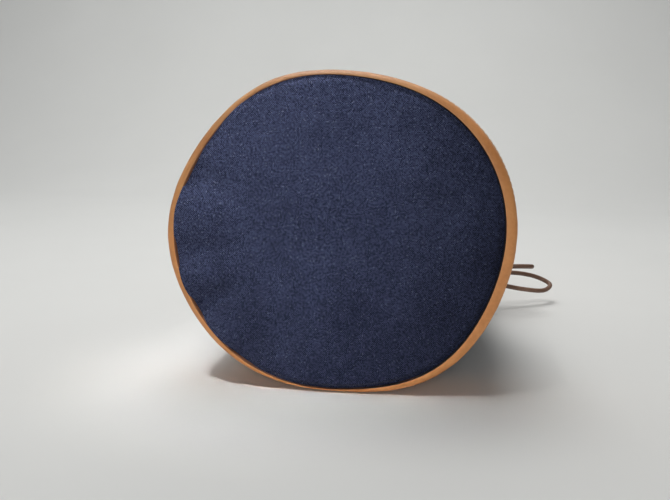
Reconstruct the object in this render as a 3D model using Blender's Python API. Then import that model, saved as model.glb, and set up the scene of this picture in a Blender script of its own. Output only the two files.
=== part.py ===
"""A canvas and leather bucket bag, lying on its side with its mouth drawn in and tied.

The bag's own axis runs along +Y, from the middle of the base's outer face (the origin) to the mouth.
It lies on a floor at z = -FLOOR, on the side that is slightly flattened by its weight.
Every wall layer follows one skin, and is placed by its depth below that skin.
"""

import math

import bmesh
import bpy
import numpy as np
from mathutils import Matrix, Vector

MM = 0.001

# Driving sizes of the bag, in millimetres.
BASE_RADIUS = 106.7
# The base as it lies is a little out of round: waves round its edge, their height, and their peak in degrees.
BASE_WAVES = [(2, 4.0, 4.7), (3, 0.64, -46.0), (4, 1.17, 31.0), (5, 0.7, 28.0), (6, 0.65, -1.0)]
FLOOR = 100.5
LENGTH = 262.0
MOUTH_RADIUS = 74.0
PLEATS = 6
PLEAT_DEPTH = 16.0
MOUTH_DROOP = 15.2
GATHER_START = 95.0
GATHER_END = 232.0
FRONT = math.radians(-42)

# Layers of the wall, by depth below the outer leather.
LEATHER = 2.0
GAP = 0.3
CANVAS = 1.8
LINING = 1.2
CANVAS_OUT = LEATHER + GAP
CANVAS_IN = CANVAS_OUT + CANVAS
LINING_OUT = CANVAS_IN + GAP
LINING_IN = LINING_OUT + LINING
LEAF_OUT = LINING_IN + GAP
LEAF_IN = LEAF_OUT + LEATHER

# Base, bottom band and rim.
CORNER_HEIGHT = 5.5
CORNER_PROUD = 0.8
SEAM_INSET = 5.8
SEAM_WAVES = [(1, 0.8, -41.0), (2, 1.5, -6.0)]
BAND_TOP = 40.0
PANEL_START = 7.5
BOARD_INSET = 8.5
BOARD_START = 2.2
BOARD_THICK = 2.2
LINING_START = BOARD_START + BOARD_THICK + 0.4
RIM_START = 218.0
LINING_TOP = 233.0
WALL_TOP = LENGTH - LEATHER - GAP
STRIP_HALF_ANGLE = math.radians(6.5)

# Eyelets and drawstring.
EYELET_ALONG = 240.0
EYELET_BORE = 5.1
EYELET_BARREL = 5.6
EYELET_FLANGE = 7.2
EYELET_STAND_OFF = 0.8
EYELET_LIP = 1.0
EYELET_HOLE = 6.0
CORD_RADIUS = 2.0
CORD_STEP = 8.6
CORD_RING = 71.6
CORD_WAVE = 5.2
KNOT_RADIUS = 85.0
KNOT_LENGTH = 12.0
KNOT_CORE = 4.0
KNOT_BULGE = 1.6
TAIL_KNOT_RADIUS = 4.0

# Shoulder strap and its two swivel rivets.
STRAP_WIDTH = 20.0
STRAP_THICK = 2.5
STRAP_STAND_OFF = 0.5
STRAP_STEP = 14.0
RIVET_ALONG = 237.0
RIVET_SHANK = 2.0
RIVET_HEAD = 5.0
RIVET_TAIL = 3.3
RIVET_HOLE = 2.3

# Facets: every layer bends at the same angles and distances along the bag, so that none meets another.
COLUMNS = 60
STATIONS = [43.0, 95.0, 122.0, 150.0, 178.0, 202.0, 218.0, 232.0]
ROUND_SIDES = 10

# Free stretches of the drawstring, in millimetres: across, along, and height above the floor.
LOWER_LOOP = [
    (72, 246, 29.5), (87, 256, 30), (106, 268, 29), (125, 279, 26), (140, 286, 21),
    (149, 282, 16), (142, 270, 13), (124, 259, 16), (104, 250, 21), (88, 244, 25), (72, 239, 26.5),
]
UPPER_LOOP = [
    (70, 235, 35), (84, 231, 38.5), (102, 228, 41.5), (118, 228, 42.5),
    (130, 237, 41), (121, 247, 39), (104, 249, 38), (87, 247, 36.5), (70, 243, 35),
]
TAIL_A = [
    (60, 241, 18.5), (57, 243, 12.5), (55, 251, 5.8), (54, 266, 2.6),
    (54, 286, 2.2), (51, 306, 2.2), (45, 324, 2.2), (36, 338, 2.2),
]
TAIL_B = [
    (66.5, 239, 18.5), (69, 237, 11.5), (73, 241, 5.4), (78, 253, 2.6),
    (82, 272, 2.2), (82, 292, 2.2), (77, 311, 2.2), (69, 326, 2.2),
]
# The strap's run from the upper rivet's leg down to the floor, and round to the lower one's.
STRAP_FLOOR = [
    (64, 300, 148), (66, 338, 109), (70, 368, 56), (76, 402, 20), (79, 440, 10.4), (62, 480, 10.4),
    (18, 500, 10.4), (-32, 496, 10.4), (-70, 466, 10.4), (-84, 420, 10.4), (-80, 365, 11), (-68, 312, 15),
]


def clear_scene():
    for thing in list(bpy.data.objects):
        bpy.data.objects.remove(thing, do_unlink=True)


def make_material(name, colour, roughness, metallic=0.0):
    material = bpy.data.materials.new(name)
    material.use_nodes = True
    shader = material.node_tree.nodes["Principled BSDF"]
    shader.inputs["Base Color"].default_value = (*colour, 1.0)
    shader.inputs["Roughness"].default_value = roughness
    shader.inputs["Metallic"].default_value = metallic
    return material


def smooth(low, high, value):
    """0 below low, 1 above high, and a smooth climb between them."""
    t = min(1.0, max(0.0, (value - low) / (high - low)))
    return t * t * (3.0 - 2.0 * t)


def waves(angle, table):
    """Sum of the table's waves at an angle round the bag."""
    return sum(height * math.cos(count * (angle - math.radians(peak))) for count, height, peak in table)


def skin_radius(angle, along):
    """Distance of the outer skin from the bag's axis."""
    base = BASE_RADIUS + waves(angle, BASE_WAVES)
    mouth = MOUTH_RADIUS - PLEAT_DEPTH * math.cos(PLEATS * (angle - FRONT))
    drawn = smooth(GATHER_START, GATHER_END, along)
    return base + (mouth - base) * drawn


def axis_height(along):
    """The bag's middle sinks towards the mouth, where nothing stiffens the wall."""
    return -MOUTH_DROOP * smooth(0.0, GATHER_END, along)


def section_point(angle, along):
    radius = skin_radius(angle, along)
    return np.array([radius * math.cos(angle), axis_height(along) + radius * math.sin(angle)])


def section_normal(angle, along):
    """Unit outward normal of the cross-section's outline, in the XZ plane."""
    step = 1e-4
    run = section_point(angle + step, along) - section_point(angle - step, along)
    normal = np.array([run[1], -run[0]])
    return normal / np.linalg.norm(normal)


def bare_canvas(along):
    """1 where no leather lies under the canvas, so that it sags down to the floor itself."""
    past_band = smooth(BAND_TOP + 3.0, BAND_TOP + 25.0, along)
    return past_band * (1.0 - smooth(RIM_START - 30.0, RIM_START, along))


def skin(angle, along, depth=0.0):
    """A point of the wall, in metres, that far below the outer skin and never under the floor."""
    x, z = section_point(angle, along) - depth * section_normal(angle, along)
    lowest = depth - CANVAS_OUT * bare_canvas(along) - FLOOR
    return Vector((x, along, max(z, lowest))) * MM


def add_object(name, mesh_builder, material):
    mesh = bpy.data.meshes.new(name)
    bmesh.ops.recalc_face_normals(mesh_builder, faces=mesh_builder.faces)
    mesh_builder.to_mesh(mesh)
    mesh_builder.free()
    mesh.materials.append(material)
    mesh.shade_smooth()
    mesh.set_sharp_from_angle(angle=math.radians(40))
    thing = bpy.data.objects.new(name, mesh)
    bpy.context.scene.collection.objects.link(thing)
    return thing


def join_rings(builder, first, second, closed=True):
    """Quads between two rows of vertices of equal length."""
    count = len(first)
    for i in range(count if closed else count - 1):
        j = (i + 1) % count
        builder.faces.new((first[i], first[j], second[j], second[i]))


def wall_strip(builder, one_angle, next_angle, profile, closed=True):
    """Skin between two neighbouring angles, split along the same diagonal in every layer."""
    count = len(profile)
    for i in range(count if closed else count - 1):
        low, high = i, (i + 1) % count
        if profile[low][0] > profile[high][0]:
            low, high = high, low
        builder.faces.new((one_angle[low], next_angle[low], next_angle[high]))
        builder.faces.new((one_angle[low], next_angle[high], one_angle[high]))


def full_turn():
    return [2.0 * math.pi * i / COLUMNS for i in range(COLUMNS)]


def hoop(name, profile_at, material):
    """A closed profile of (along, depth) points that may change with the angle, carried round the bag."""
    builder = bmesh.new()
    rows = [[builder.verts.new(skin(a, along, depth)) for along, depth in profile_at(a)] for a in full_turn()]
    for first, second in zip(rows, rows[1:] + rows[:1]):
        wall_strip(builder, first, second, profile_at(0.0))
    return add_object(name, builder, material)


def wall_patch(name, start, end, columns, profile, material):
    """A closed profile of (along, depth) points, carried from one angle to another and capped."""
    builder = bmesh.new()
    angles = np.linspace(start, end, columns + 1)
    rows = [[builder.verts.new(skin(a, along, depth)) for along, depth in profile] for a in angles]
    for first, second in zip(rows, rows[1:]):
        wall_strip(builder, first, second, profile)
    half = len(profile) // 2
    for row in (rows[0], rows[-1]):
        join_rings(builder, row[:half], row[:half - 1:-1], closed=False)
    return add_object(name, builder, material)


def rows_between(low, high):
    """The two ends of a layer and the stations between them."""
    return [low] + [along for along in STATIONS if low + 1.0 < along < high - 1.0] + [high]


def sheet_profile(low, high, outer, inner):
    """The outline of a layer: up its outer face and back down its inner one."""
    rows = rows_between(low, high)
    return [(along, outer) for along in rows] + [(along, inner) for along in reversed(rows)]


def disc(name, inset_at, start, thick, material):
    """A flat piece with the base's outline, drawn in by an inset that may change with the angle."""
    builder = bmesh.new()
    rings = []
    for along in (start, start + thick):
        edge = [skin(a, 0.0, inset_at(a)) for a in full_turn()]
        ring = [builder.verts.new((p.x, along * MM, p.z)) for p in edge]
        builder.faces.new(ring)
        rings.append(ring)
    join_rings(builder, *rings)
    return add_object(name, builder, material)


def lining_cup(material):
    """The lining: a wall sewn to a round bottom, one open bag inside the other."""
    builder = bmesh.new()
    profile = sheet_profile(LINING_START, LINING_TOP, LINING_OUT, LINING_IN)
    profile[-1] = (LINING_START + LINING, LINING_IN)
    rows = [[builder.verts.new(skin(a, along, depth)) for along, depth in profile] for a in full_turn()]
    for first, second in zip(rows, rows[1:] + rows[:1]):
        wall_strip(builder, first, second, profile, closed=False)
    for end in (0, -1):
        builder.faces.new([row[end] for row in rows])
    return add_object("lining", builder, material)


def seam_inset(angle):
    """How far in from the outer skin the band's rolled edge is sewn to the base panel."""
    return SEAM_INSET + waves(angle, SEAM_WAVES)


def corner_profile(angle):
    """The bottom band: rolled over the base's edge in a quarter oval, then up the wall."""
    inset = seam_inset(angle)
    crest = CORNER_HEIGHT - CORNER_PROUD
    outer, inner = [], []
    for i in range(4):
        a = 0.5 * math.pi * i / 3
        outer.append((crest - CORNER_HEIGHT * math.cos(a), inset * (1.0 - math.sin(a))))
        inner_height = CORNER_HEIGHT - LEATHER
        inner.append((crest - inner_height * math.cos(a), inset - (inset - LEATHER) * math.sin(a)))
    return outer + [(BAND_TOP, 0.0), (BAND_TOP, LEATHER)] + inner[::-1]


def rim_profile(_angle):
    """The rim binding: an outer leaf, folded over the top edge to an inner leaf."""
    return [
        (RIM_START, 0.0), (GATHER_END, 0.0), (LENGTH, 0.0),
        (LENGTH, LEAF_IN), (GATHER_END, LEAF_IN), (RIM_START, LEAF_IN),
        (RIM_START, LEAF_OUT), (GATHER_END, LEAF_OUT), (LENGTH - LEATHER, LEAF_OUT),
        (LENGTH - LEATHER, LEATHER), (GATHER_END, LEATHER), (RIM_START, LEATHER),
    ]


def turned(name, profile, frame, material, hollow=False):
    """A profile of (distance from the axis, height) points, turned about the frame's Z axis."""
    builder = bmesh.new()
    rings = []
    for radius, height in profile:
        ring = []
        for i in range(ROUND_SIDES):
            a = 2.0 * math.pi * i / ROUND_SIDES
            place = Vector((radius * math.cos(a), radius * math.sin(a), height))
            ring.append(builder.verts.new(place * MM))
        rings.append(ring)
    for first, second in zip(rings, rings[1:]):
        join_rings(builder, first, second)
    if hollow:
        join_rings(builder, rings[-1], rings[0])
    else:
        builder.faces.new(rings[0])
        builder.faces.new(rings[-1])
    thing = add_object(name, builder, material)
    thing.matrix_world = frame
    return thing


def wall_frame(angle, along):
    """A frame on the outer skin whose Z axis points straight out of the wall."""
    x, z = section_point(angle, along)
    out = section_normal(angle, along)
    normal = Vector((out[0], 0.0, out[1]))
    up = Vector((0.0, 1.0, 0.0))
    side = up.cross(normal)
    turn = Matrix((side, up, normal)).transposed().to_4x4()
    return Matrix.Translation(Vector((x, along, z)) * MM) @ turn


def eyelet_angles():
    """Two eyelets a pleat, halfway up its sides, so that the cord passes straight through."""
    half_step = math.pi / PLEATS
    return [FRONT + half_step * (i + 0.5) for i in range(2 * PLEATS)]


def rivet_angles():
    return {"upper": FRONT + 0.5 * math.pi, "lower": FRONT - 0.5 * math.pi}


def eyelet(number, angle, material):
    """Barrel and two lips, with the bore right through."""
    top = EYELET_STAND_OFF + EYELET_LIP
    bottom = -LEAF_IN - top
    profile = [
        (EYELET_BORE, bottom), (EYELET_BORE, top),
        (EYELET_FLANGE - 0.9, top), (EYELET_FLANGE, EYELET_STAND_OFF),
        (EYELET_BARREL, EYELET_STAND_OFF), (EYELET_BARREL, -LEAF_IN - EYELET_STAND_OFF),
        (EYELET_FLANGE, -LEAF_IN - EYELET_STAND_OFF), (EYELET_FLANGE - 0.9, bottom),
    ]
    place = wall_frame(angle, EYELET_ALONG)
    return turned(f"eyelet_{number:02d}", profile, place, material, hollow=True)


def rivet(name, angle, material):
    """A domed head outside the strap, a shank, and a washer head inside the rim."""
    seat = 2.0 * STRAP_STAND_OFF + STRAP_THICK
    tail = -LEAF_IN - 2.4
    profile = [
        (1.2, tail - 1.6), (RIVET_TAIL - 0.5, tail - 1.2), (RIVET_TAIL, tail - 0.5), (RIVET_TAIL, tail),
        (RIVET_SHANK, tail), (RIVET_SHANK, seat), (RIVET_HEAD, seat), (RIVET_HEAD, seat + 0.7),
        (RIVET_HEAD - 1.2, seat + 1.7), (1.6, seat + 2.1),
    ]
    return turned(name, profile, wall_frame(angle, RIVET_ALONG), material)


def hole_cutter():
    """One hidden tool with a peg for each eyelet and each rivet."""
    builder = bmesh.new()
    pegs = [(a, EYELET_ALONG, EYELET_HOLE) for a in eyelet_angles()]
    pegs += [(a, RIVET_ALONG, RIVET_HOLE) for a in rivet_angles().values()]
    for angle, along, radius in pegs:
        place = wall_frame(angle, along) @ Matrix.Translation((0.0, 0.0, -0.5 * LEAF_IN * MM))
        bmesh.ops.create_cone(
            builder, cap_ends=True, segments=ROUND_SIDES, radius1=radius * MM, radius2=radius * MM,
            depth=(LEAF_IN + 8.0) * MM, matrix=place,
        )
    cutter = add_object("hole_cutter", builder, bpy.data.materials["brass"])
    cutter.hide_render = True
    cutter.display_type = "WIRE"
    return cutter


def cut_holes(thing, cutter):
    cut = thing.modifiers.new("holes", "BOOLEAN")
    cut.operation = "DIFFERENCE"
    cut.solver = "EXACT"
    cut.object = cutter


def above_floor(points):
    """Route points with their heights counted from the floor turned into places in the bag's frame."""
    return [(across, along, height - FLOOR) for across, along, height in points]


def smooth_route(points, spacing):
    """Points about spacing apart on a smooth curve through the given ones, in millimetres."""
    knots = np.array(points, float)
    padded = np.vstack([2 * knots[0] - knots[1], knots, 2 * knots[-1] - knots[-2]])
    fine = []
    for i in range(1, len(padded) - 2):
        a, b, c, d = padded[i - 1 : i + 3]
        for t in np.linspace(0.0, 1.0, 12, endpoint=False):
            bend = (2 * a - 5 * b + 4 * c - d) * t**2 + (3 * b - a - 3 * c + d) * t**3
            fine.append(0.5 * (2 * b + (c - a) * t + bend))
    fine.append(knots[-1])
    fine = np.array(fine)
    travel = np.concatenate([[0.0], np.cumsum(np.linalg.norm(np.diff(fine, axis=0), axis=1))])
    stops = np.linspace(0.0, travel[-1], max(3, round(travel[-1] / spacing) + 1))
    return np.stack([np.interp(stops, travel, fine[:, k]) for k in range(3)], axis=1)


def cord(name, route, material, facets=2):
    """A round cord along a route in millimetres."""
    line = bpy.data.curves.new(name, "CURVE")
    line.dimensions = "3D"
    line.bevel_depth = CORD_RADIUS * MM
    line.bevel_resolution = facets
    line.use_fill_caps = True
    spline = line.splines.new("POLY")
    spline.points.add(len(route) - 1)
    for point, place in zip(spline.points, route):
        point.co = (*(place * MM), 1.0)
    line.materials.append(material)
    thing = bpy.data.objects.new(name, line)
    bpy.context.scene.collection.objects.link(thing)
    return thing


def drawstring_route():
    """Round the mouth: outside each valley, inside each pleat, and out at the front to the knot."""
    turn_in = math.radians(7)
    angles = np.linspace(FRONT + turn_in, FRONT + 2.0 * math.pi - turn_in, 11 * PLEATS)
    route = []
    for a in angles:
        radius = CORD_RING + CORD_WAVE * math.cos(PLEATS * (a - FRONT))
        route.append((radius * math.cos(a), EYELET_ALONG, radius * math.sin(a) - MOUTH_DROOP))
    for end, side in ((0, 1), (-1, -1)):
        a = FRONT + side * math.radians(3.4)
        radius = CORD_RING + CORD_WAVE + 2.2
        exit_point = (radius * math.cos(a), EYELET_ALONG, radius * math.sin(a) - MOUTH_DROOP)
        route.insert(0 if end == 0 else len(route), exit_point)
    return np.array(route)


def knot_place():
    """The bow's knot sits in the front valley, clear of the rim."""
    return Vector(
        (KNOT_RADIUS * math.cos(FRONT), EYELET_ALONG, KNOT_RADIUS * math.sin(FRONT) - MOUTH_DROOP)
    )


def bow_knot(material):
    """Three turns of cord drawn tight into one barrel along the bag's axis."""
    turns = 3
    steps = 12
    profile = []
    for i in range(steps + 1):
        share = i / steps
        swell = math.sin(math.pi * share) ** 0.5 if 0.0 < share < 1.0 else 0.0
        ridge = KNOT_BULGE * abs(math.sin(math.pi * turns * share))
        profile.append((1.2 + (KNOT_CORE - 1.2) * swell + ridge * swell, KNOT_LENGTH * (share - 0.5)))
    frame = Matrix.Translation(knot_place() * MM) @ Matrix.Rotation(-0.5 * math.pi, 4, "X")
    return turned("bow_knot", profile, frame, material)


def tail_knot(name, tail, material):
    """An overhand stopper knot on the end of a tail, resting on the floor."""
    before, end = (Vector(place) for place in above_floor(tail[-2:]))
    way = (end - before).normalized()
    centre = end + way * (TAIL_KNOT_RADIUS + 0.5)
    centre.z = TAIL_KNOT_RADIUS + 0.2 - FLOOR
    builder = bmesh.new()
    bmesh.ops.create_icosphere(
        builder, subdivisions=2, radius=TAIL_KNOT_RADIUS * MM, matrix=Matrix.Translation(centre * MM)
    )
    return add_object(name, builder, material)


def strap_route():
    """Middle line of the strap: up from one rivet, down to the floor, round, and back to the other."""
    reach = STRAP_STAND_OFF + 0.5 * STRAP_THICK
    legs = {}
    for name, angle in rivet_angles().items():
        x, z = section_point(angle, RIVET_ALONG) + reach * section_normal(angle, RIVET_ALONG)
        legs[name] = [(x, along, z) for along in (RIVET_ALONG - 10.0, RIVET_ALONG, RIVET_ALONG + 12.0, 266.0)]
    return smooth_route(legs["upper"] + above_floor(STRAP_FLOOR) + legs["lower"][::-1], STRAP_STEP)


def strap(material):
    """A flat strap that lies against the rim at its ends and stands on its edge on the floor."""
    route = strap_route()
    count = len(route)
    across_rim = np.array([-math.sin(rivet_angles()["upper"]), 0.0, math.cos(rivet_angles()["upper"])])
    across_floor = np.array([0.0, 0.0, 1.0])
    half_width = 0.5 * STRAP_WIDTH
    half_thick = 0.5 * STRAP_THICK
    corners = ((1, 1), (1, -1), (-1, -1), (-1, 1))
    builder = bmesh.new()
    rows = []
    for i, place in enumerate(route):
        way = route[min(i + 1, count - 1)] - route[max(i - 1, 0)]
        way /= np.linalg.norm(way)
        from_end = min(i, count - 1 - i) * STRAP_STEP
        lean = smooth(44.0, 220.0, from_end)
        across = across_rim * (1.0 - lean) + across_floor * lean
        across -= way * np.dot(across, way)
        across /= np.linalg.norm(across)
        out = np.cross(way, across)
        edges = [place + across * half_width * w + out * half_thick * t for w, t in corners]
        rows.append([builder.verts.new(edge * MM) for edge in edges])
    for first, second in zip(rows, rows[1:]):
        join_rings(builder, first, second)
    builder.faces.new(rows[0])
    builder.faces.new(reversed(rows[-1]))
    return add_object("strap", builder, material)


def build():
    clear_scene()
    canvas = make_material("navy_canvas", (0.030, 0.038, 0.085), 0.9)
    leather = make_material("tan_leather", (0.42, 0.21, 0.085), 0.5)
    cord_leather = make_material("brown_cord", (0.13, 0.065, 0.04), 0.45)
    brass = make_material("brass", (0.72, 0.53, 0.25), 0.3, 1.0)
    cotton = make_material("lining_cotton", (0.55, 0.47, 0.36), 0.9)
    board = make_material("grey_board", (0.30, 0.27, 0.23), 0.8)

    disc("base_panel", lambda angle: seam_inset(angle) + GAP, 0.0, CANVAS, canvas)
    disc("base_board", lambda angle: BOARD_INSET, BOARD_START, BOARD_THICK, board)
    hoop("base_band", corner_profile, leather)
    seam = 0.5 * GAP / BASE_RADIUS
    panel = sheet_profile(PANEL_START, WALL_TOP, CANVAS_OUT, CANVAS_IN)
    upper, lower = rivet_angles()["upper"], rivet_angles()["lower"]
    half_turn = COLUMNS // 2
    front = wall_patch("body_front", lower + seam, upper - seam, half_turn, panel, canvas)
    back = wall_patch("body_back", upper + seam, lower + 2.0 * math.pi - seam, half_turn, panel, canvas)
    strip = sheet_profile(BAND_TOP + GAP, RIM_START - GAP, 0.0, LEATHER)
    for name, angle in rivet_angles().items():
        start, end = angle - STRIP_HALF_ANGLE, angle + STRIP_HALF_ANGLE
        wall_patch(f"side_strip_{name}", start, end, 4, strip, leather)
    rim = hoop("rim_binding", rim_profile, leather)
    lining_cup(cotton)

    cutter = hole_cutter()
    for layer in (front, back, rim):
        cut_holes(layer, cutter)
    for number, angle in enumerate(eyelet_angles(), start=1):
        eyelet(number, angle, brass)

    strap_piece = strap(leather)
    cut_holes(strap_piece, cutter)
    for name, angle in rivet_angles().items():
        rivet(f"strap_rivet_{name}", angle, brass)

    cord("drawstring", drawstring_route(), cord_leather, facets=1)
    bow_knot(cord_leather)
    free_cords = {
        "bow_loop_lower": LOWER_LOOP,
        "bow_loop_upper": UPPER_LOOP,
        "cord_tail_a": TAIL_A,
        "cord_tail_b": TAIL_B,
    }
    for name, points in free_cords.items():
        cord(name, smooth_route(above_floor(points), CORD_STEP), cord_leather)
    tail_knot("tail_knot_a", TAIL_A, cord_leather)
    tail_knot("tail_knot_b", TAIL_B, cord_leather)


build()
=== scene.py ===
"""Looks of the bucket bag: cloth, leather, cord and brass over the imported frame, in a pale studio."""

import math

import bmesh
import bpy
import numpy as np
from mathutils import Matrix, Vector, noise


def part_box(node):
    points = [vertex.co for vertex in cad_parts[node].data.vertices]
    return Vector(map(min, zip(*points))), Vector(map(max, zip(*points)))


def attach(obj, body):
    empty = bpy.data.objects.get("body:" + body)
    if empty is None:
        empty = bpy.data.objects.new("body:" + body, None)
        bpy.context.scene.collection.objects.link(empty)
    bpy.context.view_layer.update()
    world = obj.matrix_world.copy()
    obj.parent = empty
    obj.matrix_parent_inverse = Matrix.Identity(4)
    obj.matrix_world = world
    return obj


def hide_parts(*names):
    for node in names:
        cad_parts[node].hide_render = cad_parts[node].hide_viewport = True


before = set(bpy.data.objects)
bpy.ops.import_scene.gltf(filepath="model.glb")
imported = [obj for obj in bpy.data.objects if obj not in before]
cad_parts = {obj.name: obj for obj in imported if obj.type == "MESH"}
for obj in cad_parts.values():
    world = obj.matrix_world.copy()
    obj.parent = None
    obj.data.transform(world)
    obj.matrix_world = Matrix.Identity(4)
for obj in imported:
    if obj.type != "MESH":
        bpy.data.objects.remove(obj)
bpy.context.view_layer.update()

MM = 0.001
BAG = "bag"
STRAP = "strap"

# The skin's driving sizes, in millimetres, with the frame's own lengths read from its nodes.
BASE_RADIUS = 106.7
BASE_WAVES = [(2, 4.0, 4.7), (3, 0.64, -46.0), (4, 1.17, 31.0), (5, 0.7, 28.0), (6, 0.65, -1.0)]
SEAM_INSET = 5.3
SEAM_WAVES = [(1, 0.8, -41.0), (2, 1.5, -6.0)]
# Where the cloth sags nearest to the leather's outer edge: how far, its middle and its spread in degrees.
SEAM_SAG = (2.1, 263.0, 18.0)
MOUTH_RADIUS = 74.0
PLEATS = 6
PLEAT_DEPTH = 16.0
MOUTH_DROOP = 15.2
GATHER_START = 95.0
GATHER_END = 232.0
FRONT = math.radians(-42)
FLOOR = -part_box("base_band")[0][2] / MM
BAND_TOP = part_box("base_band")[1][1] / MM
RIM_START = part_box("rim_binding")[0][1] / MM
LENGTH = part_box("rim_binding")[1][1] / MM
LEATHER = 2.0
CANVAS_DEPTH = 2.3
CANVAS_THICK = 1.6
# How far the canvas panels stay from the base's face and from the rim's top.
CANVAS_FOOT = 9.0
CANVAS_HEAD = 3.0
LINING_DEPTH = 4.5
LINING_THICK = 1.0
LEAF_DEPTH = 5.9
WALL_IN = 7.9
# Where the lining's wall starts, along the bag.
LINING_FOOT = 7.0
LINING_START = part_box("lining")[0][1] / MM
LINING_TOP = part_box("lining")[1][1] / MM

EYELET_ALONG = 240.0
EYELET_HOLE = 5.5
CORD_RADIUS = 2.0
CORD_RING = 71.6
CORD_WAVE = 5.2
KNOT_RADIUS = 85.0
STRAP_WIDTH = 20.0
STRAP_THICK = 2.5
STRAP_STAND_OFF = 0.5
RIVET_ALONG = 237.0
STRAP_STEP = 4.0
THREAD_RADIUS = 0.32
STITCH_LIFT = 0.12

# Free stretches of cord and the strap's run: across, along, and height above the floor.
LOWER_LOOP = [
    (72, 246, 29.5), (87, 256, 30), (106, 268, 29), (125, 279, 26), (140, 286, 21),
    (149, 282, 16), (142, 270, 13), (124, 259, 16), (104, 250, 21), (88, 244, 25), (72, 239, 26.5),
]
UPPER_LOOP = [
    (70, 235, 35), (84, 231, 38.5), (102, 228, 41.5), (118, 228, 42.5),
    (130, 237, 41), (121, 247, 39), (104, 249, 38), (87, 247, 36.5), (70, 243, 35),
]
TAIL_A = [
    (60, 241, 18.5), (57, 243, 12.5), (55, 251, 5.8), (54, 266, 2.6),
    (54, 286, 2.2), (51, 306, 2.2), (45, 324, 2.2), (36, 338, 2.2),
]
TAIL_B = [
    (66.5, 239, 18.5), (69, 237, 11.5), (73, 241, 5.4), (78, 253, 2.6),
    (82, 272, 2.2), (82, 292, 2.2), (77, 311, 2.2), (69, 326, 2.2),
]
# The strap's run from the upper rivet's leg down to the floor, and round to the lower one's.
STRAP_FLOOR = [
    (64, 300, 148), (66, 338, 109), (70, 368, 56), (76, 402, 20), (79, 440, 10.4), (62, 480, 10.4),
    (18, 500, 10.4), (-32, 496, 10.4), (-70, 466, 10.4), (-84, 420, 10.4), (-80, 365, 11), (-68, 312, 15),
]

# Soft dents in the base cloth: across, up, spread along the rim, spread towards the middle, depth.
BASE_DENTS = [
    (-92, 38, 8, 24, 5.2), (-97, -12, 8, 22, 4.6), (-87, -46, 7, 22, 4.4), (-62, -80, 8, 20, 3.6),
    (-94, 14, 9, 28, -2.0), (-93, -30, 7, 22, -1.4), (-5, 90, 16, 16, -1.2), (28, 92, 9, 16, 3.4),
    (90, 28, 14, 18, 2.6), (-45, 30, 26, 60, 1.8), (58, -62, 22, 40, 1.0),
]

# Where the cloth's middle lies along the bag, a little proud of the base panel that it hides.
CLOTH_REST = -2.3
# How deep it may dip without touching the board behind it.
CLOTH_DEEPEST = 1.1

# How far the cloth dips beside the leather, deepest to the right.
CREVICE = 2.3
CREVICE_PEAK = math.radians(-8)

# Camera, measured from the photograph: its place round the base's middle, and where that middle lands.
CAMERA_AZIMUTH = math.radians(10)
CAMERA_ELEVATION = math.radians(9)
CAMERA_DISTANCE = 0.545
CAMERA_LENS = 47.12
PICTURE_WIDTH = 670
MIDDLE_OFFSET = (2.3, 13.1)


def smooth(low, high, value):
    t = np.clip((value - low) / (high - low), 0.0, 1.0)
    return t * t * (3.0 - 2.0 * t)


def waves(angle, table):
    """Sum of the table's waves, each a count, a height and where it peaks in degrees."""
    return sum(height * np.cos(count * (angle - math.radians(peak))) for count, height, peak in table)


def seam_inset(angle):
    """How far in from the outer skin the leather's rolled edge meets the base cloth."""
    sag, middle, spread = SEAM_SAG
    away = np.degrees(np.angle(np.exp(1j * (angle - math.radians(middle)))))
    return SEAM_INSET + waves(angle, SEAM_WAVES) - sag * np.exp(-((away / spread) ** 2))


def section(angle, along):
    """Outer skin's cross-section: two arrays, across and up, in millimetres."""
    base = BASE_RADIUS + waves(angle, BASE_WAVES)
    mouth = MOUTH_RADIUS - PLEAT_DEPTH * np.cos(PLEATS * (angle - FRONT))
    radius = base + (mouth - base) * smooth(GATHER_START, GATHER_END, along)
    middle = -MOUTH_DROOP * smooth(0.0, GATHER_END, along)
    return radius * np.cos(angle), middle + radius * np.sin(angle)


def section_normal(angle, along):
    step = 1e-4
    x0, z0 = section(angle - step, along)
    x1, z1 = section(angle + step, along)
    length = np.hypot(x1 - x0, z1 - z0)
    return (z1 - z0) / length, -(x1 - x0) / length


def skin(angle, along, depth):
    """Points of the wall that far below the outer skin, in millimetres, kept above the floor."""
    angle, along, depth = np.broadcast_arrays(angle, along, depth)
    x, z = section(angle, along)
    nx, nz = section_normal(angle, along)
    bare = smooth(BAND_TOP + 3, BAND_TOP + 25, along) * (1 - smooth(RIM_START - 30, RIM_START, along))
    lowest = depth - CANVAS_DEPTH * bare - FLOOR
    return np.stack([x - depth * nx, along, np.maximum(z - depth * nz, lowest)], axis=-1)


def ripple(points, size, seed):
    """Smooth noise from -1 to 1 at each point, with features of about that size in millimetres."""
    flat = points.reshape(-1, 3)
    offset = Vector((seed * 17.3, seed * 5.1, seed * 9.7))
    values = [noise.noise(Vector(p) / size + offset) for p in flat]
    return np.array(values).reshape(points.shape[:-1])


def grid_mesh(name, points, uv, wrap=False):
    """A quad sheet through rows of points in millimetres, with its own cloth coordinates in metres."""
    rows, columns = points.shape[:2]
    mesh = bpy.data.meshes.new(name)
    faces, corners = [], []
    for r in range(rows - 1):
        for c in range(columns if wrap else columns - 1):
            d = (c + 1) % columns
            faces.append((r * columns + c, r * columns + d, (r + 1) * columns + d, (r + 1) * columns + c))
            corners.extend(((r, c), (r, c + 1), (r + 1, c + 1), (r + 1, c)))
    mesh.from_pydata((points.reshape(-1, 3) * MM).tolist(), [], faces)
    layer = mesh.uv_layers.new(name="cloth")
    layer.data.foreach_set("uv", np.array([uv[r, c] for r, c in corners], dtype=np.float32).ravel())
    mesh.shade_smooth()
    return mesh


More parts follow.
